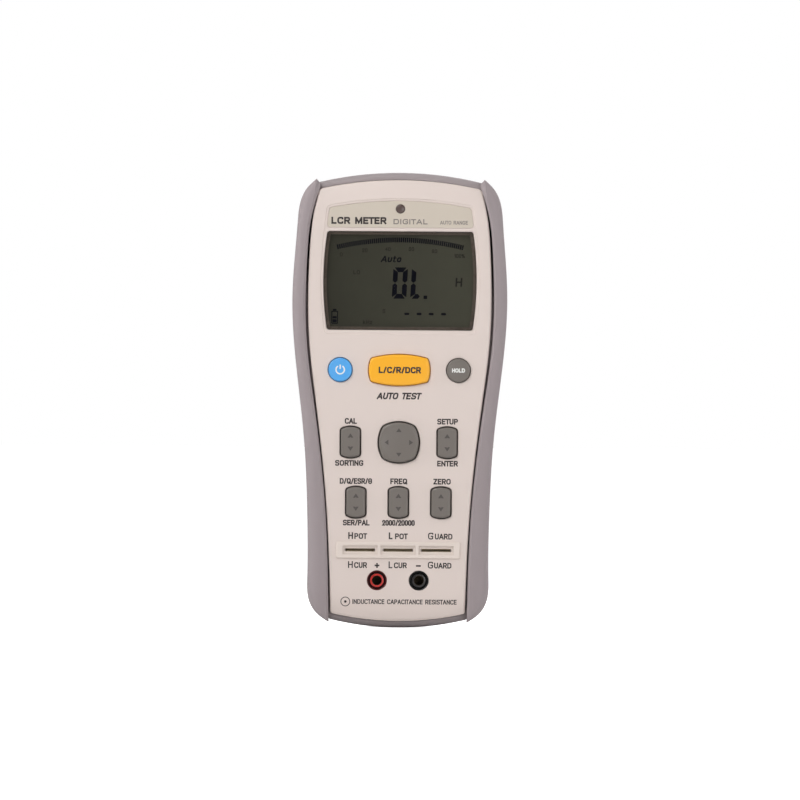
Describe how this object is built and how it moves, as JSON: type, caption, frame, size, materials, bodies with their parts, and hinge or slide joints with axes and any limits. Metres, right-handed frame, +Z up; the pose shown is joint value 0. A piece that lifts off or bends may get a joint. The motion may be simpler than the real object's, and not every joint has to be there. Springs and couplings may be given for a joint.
{
  "type": "handheld lcr meter",
  "caption": "Handheld LCR meter with a segment display, sprung keys, slotted test sockets, two 4 mm jacks, soft side grips and a folding rear stand.",
  "frame": {"origin": "under the middle of the meter as it stands upright, at its lowest point", "axes": "+Z up the meter to its display end, -Y out of the face, +X to the right-hand side of the face"},
  "size_m": [0.0986, 0.048, 0.207],
  "materials": {
    "cover_white": "satin, fine texture",
    "case_grey": "fine texture",
    "grip_grey": "soft touch, matt",
    "lens_clear": "polished",
    "mask_brown": "screen printed",
    "plate_beige": "matt film",
    "lamp_smoke": "smoked, polished",
    "led_body": "clear epoxy",
    "lcd_olive": "polarised glass",
    "frame_black": "moulded",
    "reflector_white": "milky sheet",
    "strip_rubber": "matt",
    "key_blue": "satin",
    "key_grey": "satin",
    "key_yellow": "satin",
    "pivot_nylon": "nylon",
    "mat_silicone": "silicone",
    "socket_cream": "satin",
    "contact_nickel": "nickel plated",
    "jack_red": "moulded",
    "jack_black": "moulded",
    "sleeve_brass": "plated",
    "board_green": "solder mask",
    "chip_black": "epoxy",
    "buzzer_black": "moulded",
    "crystal_steel": "drawn can",
    "capacitor_sleeve": "shrink sleeve",
    "fuse_glass": "clear tube",
    "battery_case": "lacquered can",
    "snap_black": "vinyl",
    "lead_red": "vinyl sleeve",
    "screw_steel": "zinc plated",
    "stand_grey": "fine texture",
    "foot_rubber": "matt",
    "label_silver": "brushed film"
  },
  "bodies": {
    "case": {"front_cover": "cover_white", "rear_case": "case_grey", "left_grip": "grip_grey", "right_grip": "grip_grey", "display_lens": "lens_clear", "window_mask": "mask_brown", "name_plate": "plate_beige", "lamp_lens": "lamp_smoke", "status_lamp": "led_body", "lcd_glass": "lcd_olive", "lcd_frame": "frame_black", "lcd_reflector": "reflector_white", "contact_strips": "strip_rubber", "keypad_mat": "mat_silicone", "socket_block": "socket_cream", "slot_contacts": "contact_nickel", "red_jack": "jack_red", "black_jack": "jack_black", "red_sleeve": "sleeve_brass", "black_sleeve": "sleeve_brass", "main_board": "board_green", "processor": "chip_black", "bridge_chip": "chip_black", "switch_chip": "chip_black", "buzzer": "buzzer_black", "crystal": "crystal_steel", "capacitors": "capacitor_sleeve", "fuse": "fuse_glass", "fuse_clips": "contact_nickel", "battery": "battery_case", "battery_snap": "snap_black", "battery_leads": "lead_red", "case_screws": "screw_steel", "board_screws": "screw_steel", "rubber_feet": "foot_rubber", "rear_label": "label_silver"},
    "power_key": {"power_key": "key_blue"},
    "hold_key": {"hold_key": "key_grey"},
    "auto_key": {"auto_key": "key_yellow"},
    "cal_rocker": {"cal_rocker": "key_grey"},
    "setup_rocker": {"setup_rocker": "key_grey"},
    "loss_rocker": {"loss_rocker": "key_grey"},
    "freq_rocker": {"freq_rocker": "key_grey"},
    "zero_rocker": {"zero_rocker": "key_grey"},
    "nav_pivot": {"nav_pivot": "pivot_nylon"},
    "nav_pad": {"nav_pad": "key_grey"},
    "tilt_stand": {"tilt_stand": "stand_grey"},
    "battery_door": {"battery_door": "case_grey", "door_screw": "screw_steel"}
  },
  "joints": [
    {"name": "power_press", "type": "slide", "parent": "case", "child": "power_key", "axis": [0, 1, 0], "range_m": [0, 0.001], "stiffness_N_per_m": 1200},
    {"name": "hold_press", "type": "slide", "parent": "case", "child": "hold_key", "axis": [0, 1, 0], "range_m": [0, 0.001], "stiffness_N_per_m": 1200},
    {"name": "auto_press", "type": "slide", "parent": "case", "child": "auto_key", "axis": [0, 1, 0], "range_m": [0, 0.001], "stiffness_N_per_m": 1200},
    {"name": "cal_rock", "type": "hinge", "parent": "case", "child": "cal_rocker", "pos_m": [-0.022, -0.018, 0.0843], "axis": [1, 0, 0], "range_deg": [-4, 4], "stiffness_Nm_per_rad": 0.08},
    {"name": "setup_rock", "type": "hinge", "parent": "case", "child": "setup_rocker", "pos_m": [0.022, -0.018, 0.0843], "axis": [1, 0, 0], "range_deg": [-4, 4], "stiffness_Nm_per_rad": 0.08},
    {"name": "loss_rock", "type": "hinge", "parent": "case", "child": "loss_rocker", "pos_m": [-0.01935, -0.018, 0.057], "axis": [1, 0, 0], "range_deg": [-4, 4], "stiffness_Nm_per_rad": 0.08},
    {"name": "freq_rock", "type": "hinge", "parent": "case", "child": "freq_rocker", "pos_m": [0, -0.018, 0.057], "axis": [1, 0, 0], "range_deg": [-4, 4], "stiffness_Nm_per_rad": 0.08},
    {"name": "zero_rock", "type": "hinge", "parent": "case", "child": "zero_rocker", "pos_m": [0.01935, -0.018, 0.057], "axis": [1, 0, 0], "range_deg": [-4, 4], "stiffness_Nm_per_rad": 0.08},
    {"name": "nav_rock_up_down", "type": "hinge", "parent": "case", "child": "nav_pivot", "pos_m": [0, -0.01635, 0.0843], "axis": [1, 0, 0], "range_deg": [-3.5, 3.5], "stiffness_Nm_per_rad": 0.12},
    {"name": "nav_rock_left_right", "type": "hinge", "parent": "nav_pivot", "child": "nav_pad", "pos_m": [0, -0.01635, 0.0843], "axis": [0, 0, 1], "range_deg": [-3.5, 3.5], "stiffness_Nm_per_rad": 0.12},
    {"name": "stand_fold", "type": "hinge", "parent": "case", "child": "tilt_stand", "pos_m": [0, 0.0199, 0.163], "axis": [1, 0, 0], "range_deg": [0, 75]},
    {"name": "battery_door_lift", "type": "slide", "parent": "case", "child": "battery_door", "axis": [0, 1, 0], "range_m": [0, 0.014]}
  ]
}
